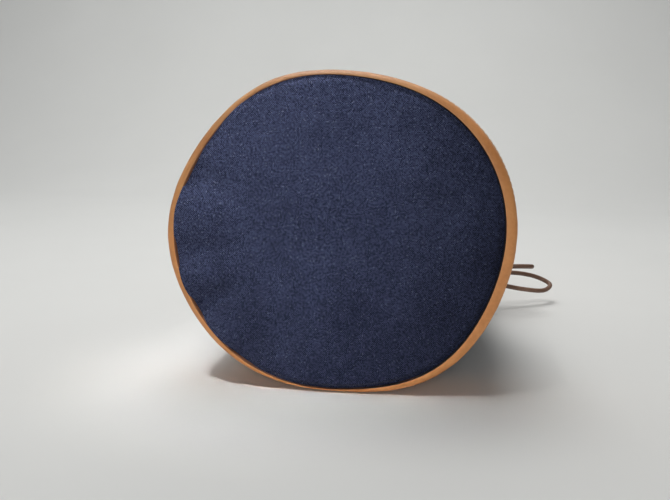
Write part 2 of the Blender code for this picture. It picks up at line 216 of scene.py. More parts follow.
def add_piece(name, data, material, body=BAG, nodes=()):
    piece = bpy.data.objects.new(name, data)
    bpy.context.scene.collection.objects.link(piece)
    data.materials.append(material)
    if nodes:
        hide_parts(*nodes)
    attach(piece, body)
    return piece


def face_out(mesh, outward):
    """Turns the sheet round if its faces look the other way."""
    bm = bmesh.new()
    bm.from_mesh(mesh)
    bm.normal_update()
    agree = sum(face.normal.dot(outward(face.calc_center_median())) * face.calc_area() for face in bm.faces)
    if agree < 0:
        bmesh.ops.reverse_faces(bm, faces=bm.faces)
        bm.to_mesh(mesh)
    bm.free()


def thicken(piece, thick):
    """Gives a sheet its thickness on the inner side, with the edges closed."""
    solid = piece.modifiers.new("thickness", "SOLIDIFY")
    solid.thickness = thick * MM
    solid.offset = -1.0
    solid.use_even_offset = True


class Nodes:
    """A short way to write a material's nodes."""

    def __init__(self, name):
        self.material = bpy.data.materials.new(name)
        self.material.use_nodes = True
        self.tree = self.material.node_tree
        self.shader = self.tree.nodes["Principled BSDF"]

    def add(self, kind, **settings):
        node = self.tree.nodes.new(kind)
        for key, value in settings.items():
            setattr(node, key, value)
        return node

    def wire(self, source, target):
        self.tree.links.new(source, target)

    def math(self, operation, first, second=None):
        node = self.add("ShaderNodeMath", operation=operation)
        for socket, value in zip(node.inputs, (first, second)):
            if value is None:
                continue
            if isinstance(value, (int, float)):
                socket.default_value = value
            else:
                self.wire(value, socket)
        return node.outputs[0]

    def noise(self, vector, scale, detail=3.0, roughness=0.5):
        node = self.add("ShaderNodeTexNoise")
        node.inputs["Scale"].default_value = scale
        node.inputs["Detail"].default_value = detail
        node.inputs["Roughness"].default_value = roughness
        self.wire(vector, node.inputs["Vector"])
        return node.outputs["Fac"]

    def ramp(self, factor, *stops):
        node = self.add("ShaderNodeValToRGB")
        while len(node.color_ramp.elements) < len(stops):
            node.color_ramp.elements.new(0.5)
        for element, (place, colour) in zip(node.color_ramp.elements, stops):
            element.position = place
            element.color = (*colour, 1.0)
        self.wire(factor, node.inputs["Fac"])
        return node.outputs["Color"]

    def mix(self, kind, factor, first, second):
        node = self.add("ShaderNodeMix", data_type="RGBA", blend_type=kind)
        for socket, value in zip((node.inputs[0], node.inputs[6], node.inputs[7]), (factor, first, second)):
            if isinstance(value, float):
                socket.default_value = value
            elif isinstance(value, tuple):
                socket.default_value = (*value, 1.0)
            else:
                self.wire(value, socket)
        return node.outputs[2]

    def bump(self, height, strength, distance):
        node = self.add("ShaderNodeBump")
        node.inputs["Strength"].default_value = strength
        node.inputs["Distance"].default_value = distance
        self.wire(height, node.inputs["Height"])
        return node.outputs["Normal"]


def weave_material(name, dark, light, fleck, yarn, fleck_share):
    """Plain-weave cloth: warp over weft cell by cell, uneven yarns, paler flecks, painted light to the upper
    left and painted shade to the lower right and the right.
    """
    n = Nodes(name)
    uv = n.add("ShaderNodeUVMap", uv_map="cloth").outputs["UV"]
    place = n.add("ShaderNodeTexCoord").outputs["Object"]
    split = n.add("ShaderNodeSeparateXYZ")
    n.wire(uv, split.inputs[0])
    drift = n.math("MULTIPLY", n.math("SUBTRACT", n.noise(uv, 90.0, 2.0), 0.5), 0.0012)
    turn = math.pi / yarn
    warp = n.math("MULTIPLY", n.math("ADD", split.outputs[0], drift), turn)
    weft = n.math("MULTIPLY", n.math("ADD", split.outputs[1], drift), turn)
    crossing = n.math("MULTIPLY", n.math("SINE", warp), n.math("SINE", weft))
    height = n.math("ADD", n.math("MULTIPLY", crossing, 0.5), 0.5)
    cells = n.add("ShaderNodeCombineXYZ")
    n.wire(n.math("FLOOR", n.math("MULTIPLY", split.outputs[0], 1.0 / yarn)), cells.inputs[0])
    n.wire(n.math("FLOOR", n.math("MULTIPLY", split.outputs[1], 1.0 / yarn)), cells.inputs[1])
    chance = n.add("ShaderNodeTexWhiteNoise")
    n.wire(cells.outputs[0], chance.inputs["Vector"])
    slub = n.noise(uv, 700.0, 2.0)
    tone = n.math("ADD", n.math("MULTIPLY", height, 0.4), n.math("MULTIPLY", chance.outputs["Value"], 0.4))
    tone = n.math("ADD", tone, n.math("MULTIPLY", slub, 0.2))
    yarns = n.ramp(tone, (0.2, dark), (0.8, light))
    flecked = n.ramp(
        chance.outputs["Value"], (1.0 - fleck_share, (0, 0, 0)), (1.0 - 0.4 * fleck_share, (1, 1, 1)),
    )
    colour = n.mix("MIX", n.math("MULTIPLY", flecked, 0.35), yarns, fleck)
    sides = n.add("ShaderNodeSeparateXYZ")
    n.wire(place, sides.inputs[0])
    # Painted light and shade: brighter to the upper left, darker to the lower right, with random cloudy tone
    # mixed in.
    slant = n.math(
        "SUBTRACT", n.math("MULTIPLY", sides.outputs[2], 3.2), n.math("MULTIPLY", sides.outputs[0], 1.6),
    )
    painted_light_and_tone = n.math("ADD", slant, n.noise(place, 22.0, 4.0, 0.6))
    # Painted shade: the cloth turns darker towards its right side.
    shaded = n.ramp(
        n.math("MULTIPLY", sides.outputs[0], 9.0), (0.40, (1.0, 1.0, 1.0)), (0.9, (0.56, 0.57, 0.60)),
    )
    painted_light_factor = n.ramp(painted_light_and_tone, (0.2, (0.62, 0.62, 0.65)), (0.8, (1.36, 1.36, 1.33)))
    colour = n.mix("MULTIPLY", 1.0, colour, painted_light_factor)
    n.wire(n.mix("MULTIPLY", 1.0, colour, shaded), n.shader.inputs["Base Color"])
    relief = n.math("ADD", height, n.math("MULTIPLY", slub, 0.6))
    n.wire(n.bump(relief, 0.8, 0.0003), n.shader.inputs["Normal"])
    n.shader.inputs["Roughness"].default_value = 0.92
    n.shader.inputs["Specular IOR Level"].default_value = 0.12
    n.shader.inputs["Sheen Weight"].default_value = 0.05
    n.shader.inputs["Sheen Roughness"].default_value = 0.5
    return n.material


def leather_material(name, deep, mid, pale, roughness, grain=900.0):
    """Smooth leather: fine pebbled grain, cloudy colour, with painted shade to the upper left and painted
    light to the lower right.
    """
    n = Nodes(name)
    place = n.add("ShaderNodeTexCoord").outputs["Object"]
    pores = n.add("ShaderNodeTexVoronoi", feature="DISTANCE_TO_EDGE")
    pores.inputs["Scale"].default_value = grain
    n.wire(place, pores.inputs["Vector"])
    clouds = n.noise(place, 28.0, 5.0, 0.6)
    fine = n.noise(place, 420.0, 4.0)
    tone = n.math("ADD", n.math("MULTIPLY", clouds, 0.75), n.math("MULTIPLY", fine, 0.25))
    colour = n.ramp(tone, (0.3, deep), (0.52, mid), (0.75, pale))
    sides = n.add("ShaderNodeSeparateXYZ")
    n.wire(place, sides.inputs[0])
    # Painted shade darkens the leather towards the top and left; painted light brightens it towards the
    # bottom and right.
    slant = n.math(
        "SUBTRACT", n.math("MULTIPLY", sides.outputs[2], 4.0), n.math("MULTIPLY", sides.outputs[0], 1.6),
    )
    painted_light_and_shade = n.ramp(
        n.math("ADD", slant, 0.5), (0.1, (1.28, 1.28, 1.28)), (0.5, (1.04, 1.04, 1.04)),
        (0.65, (1.0, 1.0, 1.0)), (0.9, (0.56, 0.61, 0.68)),
    )
    n.wire(n.mix("MULTIPLY", 1.0, colour, painted_light_and_shade), n.shader.inputs["Base Color"])
    shine = n.ramp(clouds, (0.3, (roughness - 0.08,) * 3), (0.7, (roughness + 0.1,) * 3))
    n.wire(shine, n.shader.inputs["Roughness"])
    height = n.math("ADD", n.math("MULTIPLY", pores.outputs["Distance"], 1.5), n.math("MULTIPLY", fine, 0.6))
    n.wire(n.bump(height, 0.25, 0.0003), n.shader.inputs["Normal"])
    n.shader.inputs["Specular IOR Level"].default_value = 0.45
    return n.material


def metal_material(name, dark, light):
    """Satin metal with fine rubbing marks and a little tarnish."""
    n = Nodes(name)
    place = n.add("ShaderNodeTexCoord").outputs["Object"]
    n.wire(n.ramp(n.noise(place, 160.0, 5.0), (0.35, dark), (0.65, light)), n.shader.inputs["Base Color"])
    marks = n.ramp(n.noise(place, 900.0, 3.0), (0.3, (0.22,) * 3), (0.7, (0.4,) * 3))
    n.wire(marks, n.shader.inputs["Roughness"])
    n.shader.inputs["Metallic"].default_value = 1.0
    return n.material


def edge_material(name, left, right):
    """Cut edge of the leather: burnished brown to the left, near black to the right with painted shade of the
    crevice beside it.
    """
    n = Nodes(name)
    place = n.add("ShaderNodeTexCoord").outputs["Object"]
    sides = n.add("ShaderNodeSeparateXYZ")
    n.wire(place, sides.inputs[0])
    # Painted shade: the edge turns near black towards the right, where the crevice beside the leather lies in
    # shade.
    painted_light_and_tone = n.math("ADD", n.math("MULTIPLY", sides.outputs[0], 4.0), n.noise(place, 60.0, 3.0))
    n.wire(n.ramp(painted_light_and_tone, (0.25, left), (0.65, right)), n.shader.inputs["Base Color"])
    n.shader.inputs["Roughness"].default_value = 0.6
    return n.material


def plain_material(name, dark, light, scale):
    """A matte surface with faint cloudy variation."""
    n = Nodes(name)
    place = n.add("ShaderNodeTexCoord").outputs["Object"]
    n.wire(n.ramp(n.noise(place, scale, 4.0), (0.3, dark), (0.7, light)), n.shader.inputs["Base Color"])
    n.shader.inputs["Roughness"].default_value = 0.85
    return n.material


# The canvas carries painted light and shade from its material, brighter upper left and darker right.
CANVAS = weave_material(
    "canvas", (0.0024, 0.0048, 0.0162), (0.074, 0.088, 0.173), (0.22, 0.25, 0.33), 0.00068, 0.02,
)
LINING = weave_material("lining", (0.40, 0.34, 0.25), (0.58, 0.51, 0.40), (0.68, 0.62, 0.52), 0.0005, 0.05)
LEATHER_TAN = leather_material(
    "tan_leather", (0.46, 0.180, 0.057), (0.585, 0.252, 0.086), (0.67, 0.330, 0.123), 0.55,
)
LEATHER_CORD = leather_material(
    "cord_leather", (0.075, 0.038, 0.024), (0.125, 0.067, 0.044), (0.21, 0.125, 0.085), 0.4,
)
# Burnished brown edge, with painted shade making it near black to the right.
LEATHER_EDGE_AND_SHADE = edge_material("burnished_edge_with_painted_shade", (0.21, 0.078, 0.031), (0.010, 0.006, 0.005))
BRASS = metal_material("brass", (0.50, 0.36, 0.16), (0.70, 0.54, 0.28))
THREAD = plain_material("thread", (0.60, 0.48, 0.33), (0.76, 0.65, 0.49), 2500.0)
BOARD = plain_material("board", (0.20, 0.18, 0.15), (0.27, 0.25, 0.21), 120.0)


def outward_from_axis(point):
    return Vector((point.x, 0.0, point.z + 0.5 * MOUTH_DROOP * MM))


def wall(name, angles, alongs, depth, thick, material, nodes, creases=0.0, seed=1.0, wrap=False):
    """A sheet of the wall between two sets of angles and distances along the bag."""
    along, angle = np.meshgrid(alongs, angles, indexing="ij")
    points = skin(angle, along, depth)
    if creases:
        gathered = smooth(GATHER_START - 40, GATHER_END, along)
        gathered *= 1 - smooth(RIM_START - 25, RIM_START - 4, along)
        loose = smooth(BAND_TOP, BAND_TOP + 40, along)
        loose *= 1 - smooth(RIM_START - 40, RIM_START - 4, along)
        stretched = points * np.array([1.0, 0.35, 1.0])
        wave = 0.9 * gathered * ripple(stretched, 9.0, seed) + 1.1 * loose * ripple(points, 38.0, seed + 1)
        nx, nz = section_normal(angle, along)
        points[..., 0] += creases * wave * nx
        points[..., 2] += creases * wave * nz
        points[..., 2] = np.maximum(points[..., 2], 0.1 - FLOOR)
    cloth = np.stack([angle * BASE_RADIUS * MM, along * MM], axis=-1)
    if wrap:
        closing = cloth[:, :1].copy()
        closing[..., 0] += 2 * math.pi * BASE_RADIUS * MM
        cloth = np.concatenate([cloth, closing], axis=1)
    mesh = grid_mesh(name, points, cloth, wrap)
    face_out(mesh, outward_from_axis)
    piece = add_piece(name, mesh, material, nodes=nodes)
    thicken(piece, thick)
    return piece


def hoop(name, profile_at, material, nodes, columns=360, wrinkle=0.0, seed=1.0, edge=None):
    """A closed profile of (along, depth) points, which may change with the angle, carried round the bag."""
    angles = np.linspace(0.0, 2 * math.pi, columns, endpoint=False)
    profile = profile_at(angles)
    along = np.array([row[0] * np.ones(columns) for row in profile + profile[:1]])
    depth = np.array([row[1] * np.ones(columns) for row in profile + profile[:1]])
    points = skin(angles[None, :], along, depth)
    if wrinkle:
        outside = (depth < 2.0) & (along < BAND_TOP - 3)
        swell = wrinkle * (ripple(points, 13.0, seed) + 0.6 * ripple(points, 5.0, seed + 2)) * outside
        points[..., 0] += swell * np.cos(angles)
        points[..., 2] = np.maximum(points[..., 2] + swell * np.sin(angles), 0.05 - FLOOR)
    middle = np.stack([along.mean(axis=1), depth.mean(axis=1)])
    run = np.concatenate([[0.0], np.cumsum(np.hypot(*np.diff(middle, axis=1)))])
    turns = np.append(angles, 2 * math.pi)
    cloth = np.stack(np.meshgrid(turns * BASE_RADIUS * MM, run * MM), axis=-1)
    mesh = grid_mesh(name, points, cloth, wrap=True)
    bm = bmesh.new()
    bm.from_mesh(mesh)
    bmesh.ops.remove_doubles(bm, verts=bm.verts, dist=1e-6)
    bmesh.ops.recalc_face_normals(bm, faces=bm.faces)
    bm.to_mesh(mesh)
    bm.free()
    mesh.set_sharp_from_angle(angle=math.radians(55))
    piece = add_piece(name, mesh, material, nodes=nodes)
    if edge:
        mesh.materials.append(edge[0])
        for face in mesh.polygons[: edge[1] * columns]:
            face.material_index = 1
    return piece


def flat_disc(name, points, material, nodes, facing):
    """A round of cloth through rings of points, with its face towards +Y or -Y."""
    cloth = np.stack([points[..., 0], points[..., 2]], axis=-1) * MM
    cloth = np.concatenate([cloth, cloth[:, :1]], axis=1)
    mesh = grid_mesh(name, points, cloth, wrap=True)
    bm = bmesh.new()
    bm.from_mesh(mesh)
    bmesh.ops.holes_fill(bm, edges=[e for e in bm.edges if e.is_boundary and e.verts[0].co.xz.length < 0.002])
    bm.to_mesh(mesh)
    bm.free()
    face_out(mesh, lambda point: Vector((0.0, facing, 0.0)))
    mesh.shade_smooth()
    piece = add_piece(name, mesh, material, nodes=nodes)
    thicken(piece, 1.0)
    return piece


def base_cloth():
    """A soft disc that dips into the crevice beside the leather."""
    rings, spokes = 100, 300
    angles = np.linspace(0.0, 2 * math.pi, spokes, endpoint=False)
    share = np.linspace(0.004, 1.0, rings)[:, None]
    edge = skin(angles, 0.0, seam_inset(angles) - 0.6)
    crevice = CREVICE * (1 + np.cos(angles - CREVICE_PEAK))
    points = np.zeros((rings, spokes, 3))
    points[..., 0] = edge[:, 0] * share
    points[..., 2] = edge[:, 2] * share
    sink = -0.9 * smooth(1.0, 0.6, share)
    for across, up, along_rim, inward, depth in BASE_DENTS:
        out = np.array([across, up]) / math.hypot(across, up)
        from_dent = np.stack([points[..., 0] - across, points[..., 2] - up], axis=-1)
        radial = from_dent @ out
        sideways = from_dent @ np.array([-out[1], out[0]])
        sink = sink + depth * np.exp(-((radial / inward) ** 2) - (sideways / along_rim) ** 2)
    flat = points.copy()
    sink = sink + 0.7 * ripple(flat, 44.0, 3.0) + 0.25 * ripple(flat, 15.0, 4.0) * smooth(0.4, 0.95, share)
    sink = np.minimum(sink, 3.1 + 0.25 * (sink - 3.1)) + crevice * smooth(0.960, 0.978, share)
    points[..., 1] = np.minimum(CLOTH_REST + sink, CLOTH_DEEPEST)
    piece = flat_disc("base_cloth", points, CANVAS, ["base_panel"], -1.0)


def lining_bottom():
    """Round bottom of the lining, sewn to its wall and lying on the base board."""
    rings, spokes = 40, 240
    angles = np.linspace(0.0, 2 * math.pi, spokes, endpoint=False)
    share = np.linspace(0.004, 1.0, rings)[:, None]
    edge = skin(angles, LINING_START, LINING_DEPTH + 0.5)
    level = np.full((rings, spokes), LINING_START)
    points = np.stack([edge[:, 0] * share, level, edge[:, 2] * share], axis=-1)
    points[..., 1] += 0.5 + 0.5 * ripple(points, 30.0, 8.0)
    piece = flat_disc("lining_bottom", points, LINING, (), 1.0)


def band_profile(angles):
    """Leather rolled over the base's edge, its crest just proud of the cloth, then up the wall."""
    inset = seam_inset(angles)
    height, crest = 5.4, 3.8
    lip = [(2.6, inset + 0.1), (0.6, inset + 0.25), (-0.9, inset + 0.1)]
    bends = np.radians(np.linspace(6, 90, 13))
    roll = [(crest - height * math.cos(t), inset * (1 - math.sin(t))) for t in bends]
    rise = [(along, 0.0) for along in (9.0, 16.0, 24.0, 32.0)]
    top = [(BAND_TOP - 0.5, 0.0), (BAND_TOP, 0.5), (BAND_TOP, LEATHER - 0.1), (24.0, LEATHER), (8.0, LEATHER)]
    return lip + roll + rise + top


def rim_profile(_angles):
    """Rim binding: outer leaf, a rounded fold over the top edge, and the inner leaf."""
    outer = [(RIM_START + 0.5, 0.0)] + [(along, 0.0) for along in np.linspace(RIM_START + 5, LENGTH - 2.5, 9)]
    fold = [(LENGTH - 0.8, 0.7), (LENGTH, 2.4), (LENGTH, WALL_IN - 2.4), (LENGTH - 0.8, WALL_IN - 0.7)]
    leaf = [(LENGTH - 2.5, WALL_IN)] + [(along, WALL_IN) for along in (248.0, GATHER_END, 225.0, RIM_START)]
    under = [(along, LEAF_DEPTH) for along in (RIM_START, 225.0, GATHER_END, LENGTH - LEATHER)]
    inside = [(along, LEATHER) for along in (LENGTH - LEATHER, GATHER_END, 225.0, RIM_START)]
    return outer + fold + leaf + under + inside + [(RIM_START, 0.5)]


def wall_matrix(angle, along):
    """A frame on the skin whose Z axis points out of the wall."""
    x, z = section(angle, along)
    nx, nz = section_normal(angle, along)
    normal = Vector((nx, 0.0, nz))
    up = Vector((0.0, 1.0, 0.0))
    turn = Matrix((up.cross(normal), up, normal)).transposed().to_4x4()
    return Matrix.Translation(Vector((x, along, z)) * MM) @ turn


def turned(name, profile, place, material, nodes, hollow):
    """A profile of (radius, height) in millimetres, turned about a frame's Z axis."""
    bm = bmesh.new()
    sides = 48
    rings = []
    for radius, height in profile:
        ring = []
        for i in range(sides):
            a = 2 * math.pi * i / sides
            spot = Vector((radius * math.cos(a), radius * math.sin(a), height)) * MM
            ring.append(bm.verts.new(place @ spot))
        rings.append(ring)
    pairs = list(zip(rings, rings[1:])) + ([(rings[-1], rings[0])] if hollow else [])
    for first, second in pairs:
        for i in range(sides):
            j = (i + 1) % sides
            bm.faces.new((first[i], first[j], second[j], second[i]))
    if not hollow:
        bm.faces.new(rings[0])
        bm.faces.new(rings[-1])
    bmesh.ops.recalc_face_normals(bm, faces=bm.faces)
    mesh = bpy.data.meshes.new(name)
    bm.to_mesh(mesh)
    bm.free()
    mesh.shade_smooth()
    mesh.set_sharp_from_angle(angle=math.radians(50))
    return add_piece(name, mesh, material, nodes=nodes)


def cut_eyelet_holes(*pieces):
    """Cuts a round hole through each piece where an eyelet sits, and takes the tool away again."""
    bm = bmesh.new()
    for angle in eyelet_angles():
        place = wall_matrix(angle, EYELET_ALONG) @ Matrix.Translation((0.0, 0.0, -0.5 * WALL_IN * MM))
        bmesh.ops.create_cone(
            bm, cap_ends=True, segments=32, radius1=EYELET_HOLE * MM, radius2=EYELET_HOLE * MM,
            depth=(WALL_IN + 6.0) * MM, matrix=place,
        )
    mesh = bpy.data.meshes.new("hole_tool")
    bm.to_mesh(mesh)
    bm.free()
    tool = bpy.data.objects.new("hole_tool", mesh)
    bpy.context.scene.collection.objects.link(tool)
    for piece in pieces:
        cut = piece.modifiers.new("holes", "BOOLEAN")
        cut.operation = "DIFFERENCE"
        cut.solver = "EXACT"
        cut.object = tool
    graph = bpy.context.evaluated_depsgraph_get()
    for piece in pieces:
        holed = bpy.data.meshes.new_from_object(piece.evaluated_get(graph))
        piece.modifiers.clear()
        piece.data = holed
    bpy.data.objects.remove(tool)


def eyelet_angles():
    return [FRONT + math.pi / PLEATS * (i + 0.5) for i in range(2 * PLEATS)]


def eyelet_profile():
    """A rolled brass lip on each face, with a smooth throat between them."""
    outer = [(7.1, 0.15), (7.2, 0.5), (7.0, 1.0), (6.4, 1.5), (5.9, 1.6), (5.3, 1.2), (5.1, 0.5)]
    inner = [(radius, -WALL_IN - height) for radius, height in reversed(outer)]
    return outer + inner + [(5.6, -WALL_IN - 0.1), (5.6, 0.1)]


def rivet_profile():
    seat = 2 * STRAP_STAND_OFF + STRAP_THICK
    head = [(0.4, seat + 2.1), (2.0, seat + 1.95), (3.6, seat + 1.5), (4.7, seat + 0.8)]
    head += [(5.0, seat + 0.2), (4.8, seat)]
    tail = -WALL_IN - 2.4
    foot = [(2.0, seat), (2.0, tail), (3.2, tail), (3.3, tail - 0.5), (2.8, tail - 1.2), (0.4, tail - 1.6)]
    return head + foot


def above_floor(points):
    return [(across, along, height - FLOOR) for across, along, height in points]


def route_through(points, spacing):
    """Points about spacing apart on a smooth curve through the given ones, in millimetres."""
    knots = np.array(points, float)
    padded = np.vstack([2 * knots[0] - knots[1], knots, 2 * knots[-1] - knots[-2]])
    fine = []
    for i in range(1, len(padded) - 2):
        a, b, c, d = padded[i - 1 : i + 3]
        for t in np.linspace(0.0, 1.0, 24, endpoint=False):
            bend = (2 * a - 5 * b + 4 * c - d) * t**2 + (3 * b - a - 3 * c + d) * t**3
            fine.append(0.5 * (2 * b + (c - a) * t + bend))
    fine = np.array(fine + [knots[-1]])
    travel = np.concatenate([[0.0], np.cumsum(np.linalg.norm(np.diff(fine, axis=0), axis=1))])
    stops = np.linspace(0.0, travel[-1], max(3, round(travel[-1] / spacing) + 1))
    return np.stack([np.interp(stops, travel, fine[:, k]) for k in range(3)], axis=1)


def tube(name, routes, radius, material, nodes=(), body=BAG, sides=5):
    """Round cord along one or more routes in millimetres."""
    line = bpy.data.curves.new(name, "CURVE")
    line.dimensions = "3D"
    line.bevel_depth = radius * MM
    line.bevel_resolution = sides
    line.use_fill_caps = True
    for route in routes:
        spline = line.splines.new("POLY")
        spline.points.add(len(route) - 1)
        for point, place in zip(spline.points, route):
            point.co = (*(np.array(place) * MM), 1.0)
    return add_piece(name, line, material, body=body, nodes=nodes)


def drawstring_route():
    inset = math.radians(7)
    angles = np.linspace(FRONT + inset, FRONT + 2 * math.pi - inset, 40 * PLEATS)
    radius = CORD_RING + CORD_WAVE * np.cos(PLEATS * (angles - FRONT))
    up = radius * np.sin(angles) - MOUTH_DROOP
    route = np.stack([radius * np.cos(angles), np.full_like(angles, EYELET_ALONG), up], 1)
    ends = []
    for side in (1, -1):
        a = FRONT + side * math.radians(3.4)
        reach = CORD_RING + CORD_WAVE + 2.2
        ends.append((reach * math.cos(a), EYELET_ALONG, reach * math.sin(a) - MOUTH_DROOP))
    return np.vstack([ends[0], route, ends[1]])


def knot_middle():
    up = KNOT_RADIUS * math.sin(FRONT) - MOUTH_DROOP
    return np.array([KNOT_RADIUS * math.cos(FRONT), EYELET_ALONG, up])


def knot_route():
    """Cord wound three times round the bow's crossing, with one slanting turn over it."""
    middle = knot_middle()
    turns = np.linspace(0.0, 3.2 * 2 * math.pi, 120)
    wind = np.stack([3.6 * np.cos(turns), np.linspace(-4.2, 4.2, 120), 3.6 * np.sin(turns)], 1)
    return middle + wind


def stopper_route(tail):
    """A small overhand knot: one round turn tucked through itself, at the tail's end."""
    before, end = np.array(above_floor(tail[-2:]), float)
    way = (end - before) / np.linalg.norm(end - before)
    side = np.cross(way, [0, 0, 1])
    centre = end + way * 4.0
    centre[2] = 3.9 - FLOOR
    t = np.linspace(0.0, 2 * math.pi * 1.6, 60)
    rise = np.linspace(-1.4, 1.4, 60)
    level, upright = np.outer(1.9 * np.cos(t), side), np.outer(1.6 * np.sin(t), [0, 0, 1])
    return centre + level + np.outer(rise, way) + upright


def strap_path():
    """Middle line of the strap, and the direction of its width at each point."""
    reach = STRAP_STAND_OFF + 0.5 * STRAP_THICK
    legs = []
    for angle in (FRONT + 0.5 * math.pi, FRONT - 0.5 * math.pi):
        x, z = section(angle, RIVET_ALONG)
        nx, nz = section_normal(angle, RIVET_ALONG)
        stops = (RIVET_ALONG - 10, RIVET_ALONG, RIVET_ALONG + 12, 266.0)
        legs.append([(x + reach * nx, along, z + reach * nz) for along in stops])
    route = route_through(legs[0] + above_floor(STRAP_FLOOR) + legs[1][::-1], STRAP_STEP)
    ways = np.gradient(route, axis=0)
    ways /= np.linalg.norm(ways, axis=1)[:, None]
    end_angle = FRONT + 0.5 * math.pi
    rim_way = np.array([-math.sin(end_angle), 0.0, math.cos(end_angle)])
    from_end = np.minimum(np.arange(len(route)), len(route) - 1 - np.arange(len(route))) * STRAP_STEP
    lean = smooth(44.0, 220.0, from_end)[:, None]
    across = rim_way * (1 - lean) + np.array([0.0, 0.0, 1.0]) * lean
    across -= ways * (across * ways).sum(axis=1)[:, None]
    across /= np.linalg.norm(across, axis=1)[:, None]
    return route, across, np.cross(ways, across)


def squared(value):
    """Pushes a circle's coordinates out towards a rounded square."""
    return np.sign(value) * np.abs(value) ** 0.22


def strap_piece():
    """Leather strap with softly rounded edges and round ends."""
    route, across, out = strap_path()
    sides = 28
    turns = np.linspace(0.0, 2 * math.pi, sides, endpoint=False)
    half_width = np.full(len(route), 0.5 * STRAP_WIDTH)
    from_tip = np.minimum(np.arange(len(route)), len(route) - 1 - np.arange(len(route))) * STRAP_STEP
    tip = from_tip < 9.0
    half_width[tip] = 0.5 * STRAP_WIDTH * np.sqrt(1 - (1 - (from_tip[tip] + 0.6) / 9.6) ** 2)
    width = squared(np.cos(turns))[None, :, None] * half_width[:, None, None] * across[:, None, :]
    thick = squared(np.sin(turns))[None, :, None] * 0.5 * STRAP_THICK * out[:, None, :]
    points = route[:, None, :] + width + thick
    travel = np.arange(len(route))[:, None] * STRAP_STEP * MM * np.ones((1, sides + 1))
    girth = np.linspace(0, 0.045, sides + 1)[None, :] * np.ones((len(route), 1))
    cloth = np.stack([travel, girth], axis=-1)
    mesh = grid_mesh("strap_leather", points, cloth, wrap=True)
    bm = bmesh.new()
    bm.from_mesh(mesh)
    bmesh.ops.holes_fill(bm, edges=[e for e in bm.edges if e.is_boundary])
    bmesh.ops.recalc_face_normals(bm, faces=bm.faces)
    bm.to_mesh(mesh)
    bm.free()
    mesh.shade_smooth()
    return add_piece("strap_leather", mesh, LEATHER_TAN, body=STRAP, nodes=["strap"])


def stitches(name, route, body=BAG, stitch=3.2, gap=1.1):
    """A row of separate thread stitches along a route in millimetres."""
    travel = np.concatenate([[0.0], np.cumsum(np.linalg.norm(np.diff(route, axis=0), axis=1))])
    rows = []
    start = gap
    while start + stitch < travel[-1]:
        stops = np.linspace(start, start + stitch, 4)
        rows.append(np.stack([np.interp(stops, travel, route[:, k]) for k in range(3)], axis=1))
        start += stitch + gap
    return tube(name, rows, THREAD_RADIUS, THREAD, body=body, sides=2)


def ring_route(along, depth):
    return skin(np.linspace(0.0, 2 * math.pi, 720), along, depth)


# The bag's walls, base and trim.
base_cloth()
# The lip's first three rows take the edge colour, with its painted crevice shade to the right.
hoop(
    "base_leather", band_profile, LEATHER_TAN, ["base_band"], wrinkle=0.18, seed=5.0,
    edge=(LEATHER_EDGE_AND_SHADE, 3),
)
quarter = 0.5 * math.pi
seam = 0.0012
# Half of the base's girth: what each canvas panel was cut to before its mouth was drawn in.
alongs = np.concatenate([
    np.linspace(CANVAS_FOOT, GATHER_START, 30), np.linspace(GATHER_START + 3, LENGTH - CANVAS_HEAD, 80),
])
canvas_walls = []
for part, start, seed in (("front", FRONT - quarter, 11.0), ("back", FRONT + quarter, 21.0)):
    panel = wall(
        f"{part}_canvas", np.linspace(start + seam, start + 2 * quarter - seam, 170), alongs, CANVAS_DEPTH,
        CANVAS_THICK, CANVAS, [f"body_{part}"], creases=1.0, seed=seed,
    )
    canvas_walls.append(panel)
strip_rows = np.linspace(BAND_TOP + 0.3, RIM_START - 0.3, 90)
for side, angle in (("upper", FRONT + quarter), ("lower", FRONT - quarter)):
    half = math.radians(6.5)
    wall(
        f"{side}_strip", np.linspace(angle - half, angle + half, 14), strip_rows, 0.0, LEATHER - 0.1,
        LEATHER_TAN, [f"side_strip_{side}"],
    )
    for number, edge in enumerate((-0.78, 0.78)):
        rows = np.linspace(BAND_TOP + 1, RIM_START - 1, 400)
        line = skin(np.full(400, angle + edge * half), rows, -STITCH_LIFT)
        stitches(f"{side}_strip_stitches_{number}", line)
lining_wall = wall(
    "lining_cloth", np.linspace(0, 2 * math.pi, 240, endpoint=False),
    np.linspace(LINING_FOOT, LINING_TOP, 70), LINING_DEPTH, LINING_THICK, LINING, ["lining"],
    wrap=True,
)
lining_bottom()
rim = hoop("rim_leather", rim_profile, LEATHER_TAN, ["rim_binding"], columns=480)
cut_eyelet_holes(rim, *canvas_walls)
stitches("band_stitches", ring_route(BAND_TOP - 4.0, -STITCH_LIFT))
stitches("rim_stitches_low", ring_route(RIM_START + 4.0, -STITCH_LIFT))
stitches("rim_stitches_top", ring_route(LENGTH - 6.0, -STITCH_LIFT))
for number, angle in enumerate(eyelet_angles(), start=1):
    turned(
        f"eyelet_ring_{number:02d}", eyelet_profile(), wall_matrix(angle, EYELET_ALONG), BRASS,
        [f"eyelet_{number:02d}"], hollow=True,
    )

# Strap and its rivets.
strap_piece()
route, across, out = strap_path()
for number, (edge, face) in enumerate(((-1, -1), (-1, 1), (1, -1), (1, 1))):
    line = route + across * edge * (0.5 * STRAP_WIDTH - 2.2) + out * face * (0.5 * STRAP_THICK + 0.05)
    stitches(f"strap_stitches_{number}", line[4:-4], body=STRAP)
for side, angle in (("upper", FRONT + quarter), ("lower", FRONT - quarter)):
    turned(
        f"rivet_{side}", rivet_profile(), wall_matrix(angle, RIVET_ALONG), BRASS,
        [f"strap_rivet_{side}"], hollow=False,
    )

